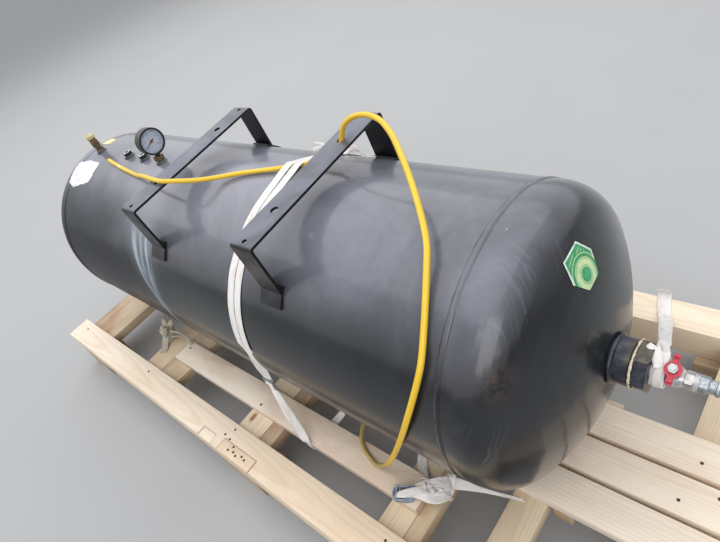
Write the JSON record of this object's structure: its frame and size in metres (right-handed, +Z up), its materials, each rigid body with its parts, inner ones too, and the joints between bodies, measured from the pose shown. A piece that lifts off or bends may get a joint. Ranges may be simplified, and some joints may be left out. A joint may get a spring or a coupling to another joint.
{
  "type": "horizontal pressure tank",
  "caption": "Horizontal steel pressure tank with domed ends, top brackets, gauge and relief valve, outlet ball valve and a loose hose, lashed on a timber skid.",
  "frame": {"origin": "middle of the skid's underside, on the surface it stands on", "axes": "+X along the tank to its outlet, +Y across it away from the side that the picture shows, +Z up"},
  "size_m": [1.84, 0.7807, 0.7428],
  "materials": {
    "tank_paint": "semi-gloss charcoal paint, scratched and dusty",
    "bar_paint": "semi-gloss black paint",
    "plug_black": "blackened",
    "brass": "tarnished",
    "cap_plastic": "matt",
    "gauge_plastic": "satin",
    "dial_white": "matt",
    "pointer_red": "matt",
    "window": "clear",
    "black_iron": "oiled black iron, brown stain",
    "nickel": "dull nickel plate",
    "handle_red": "red lacquer",
    "bright_nut": "bright",
    "galvanised": "galvanised",
    "webbing": "woven off-white polyester, soiled",
    "wood_pale": "sawn spruce",
    "wood_mid": "sawn spruce",
    "wood_dark": "sawn spruce, damp",
    "hose": "soft yellow plastic"
  },
  "bodies": {
    "base": {"tank_shell": "tank_paint", "left_head": "tank_paint", "right_head": "tank_paint", "girth_welds": "tank_paint", "bracket_left": "bar_paint", "bracket_right": "bar_paint", "bracket_pads": "bar_paint", "crown_bosses": "tank_paint", "relief_valve_foot": "brass", "relief_valve_body": "brass", "relief_valve_cap": "cap_plastic", "crown_plugs": "plug_black", "gauge_adapter": "brass", "gauge_case": "gauge_plastic", "gauge_dial": "dial_white", "gauge_pointer": "pointer_red", "gauge_glass": "window", "outlet_socket": "black_iron", "outlet_reducer": "black_iron", "valve_body": "nickel", "valve_end": "nickel", "valve_collar": "nickel", "hose_coupling": "galvanised", "strap_pair": "webbing", "strap_buckle": "galvanised", "strap_tail": "webbing", "strap_knot": "webbing", "valve_strap": "webbing", "ratchet_frame": "galvanised", "ratchet_strap": "webbing", "side_timber_front": "wood_mid", "side_timber_back": "wood_mid", "edge_board_front": "wood_pale", "edge_board_back": "wood_pale", "deck_boards": "wood_pale", "cross_bearers": "wood_dark", "blocks_front": "wood_dark", "blocks_middle": "wood_dark", "blocks_back": "wood_dark", "yellow_hose": "hose"},
    "handle": {"valve_spindle": "nickel", "valve_handle": "handle_red", "handle_nut": "bright_nut"}
  },
  "joints": [
    {"name": "valve_turn", "type": "hinge", "parent": "base", "child": "handle", "pos_m": [0.80894, 0.016, 0.404], "axis": [0, -0.3665, 0.9304], "range_deg": [0, 90]}
  ]
}
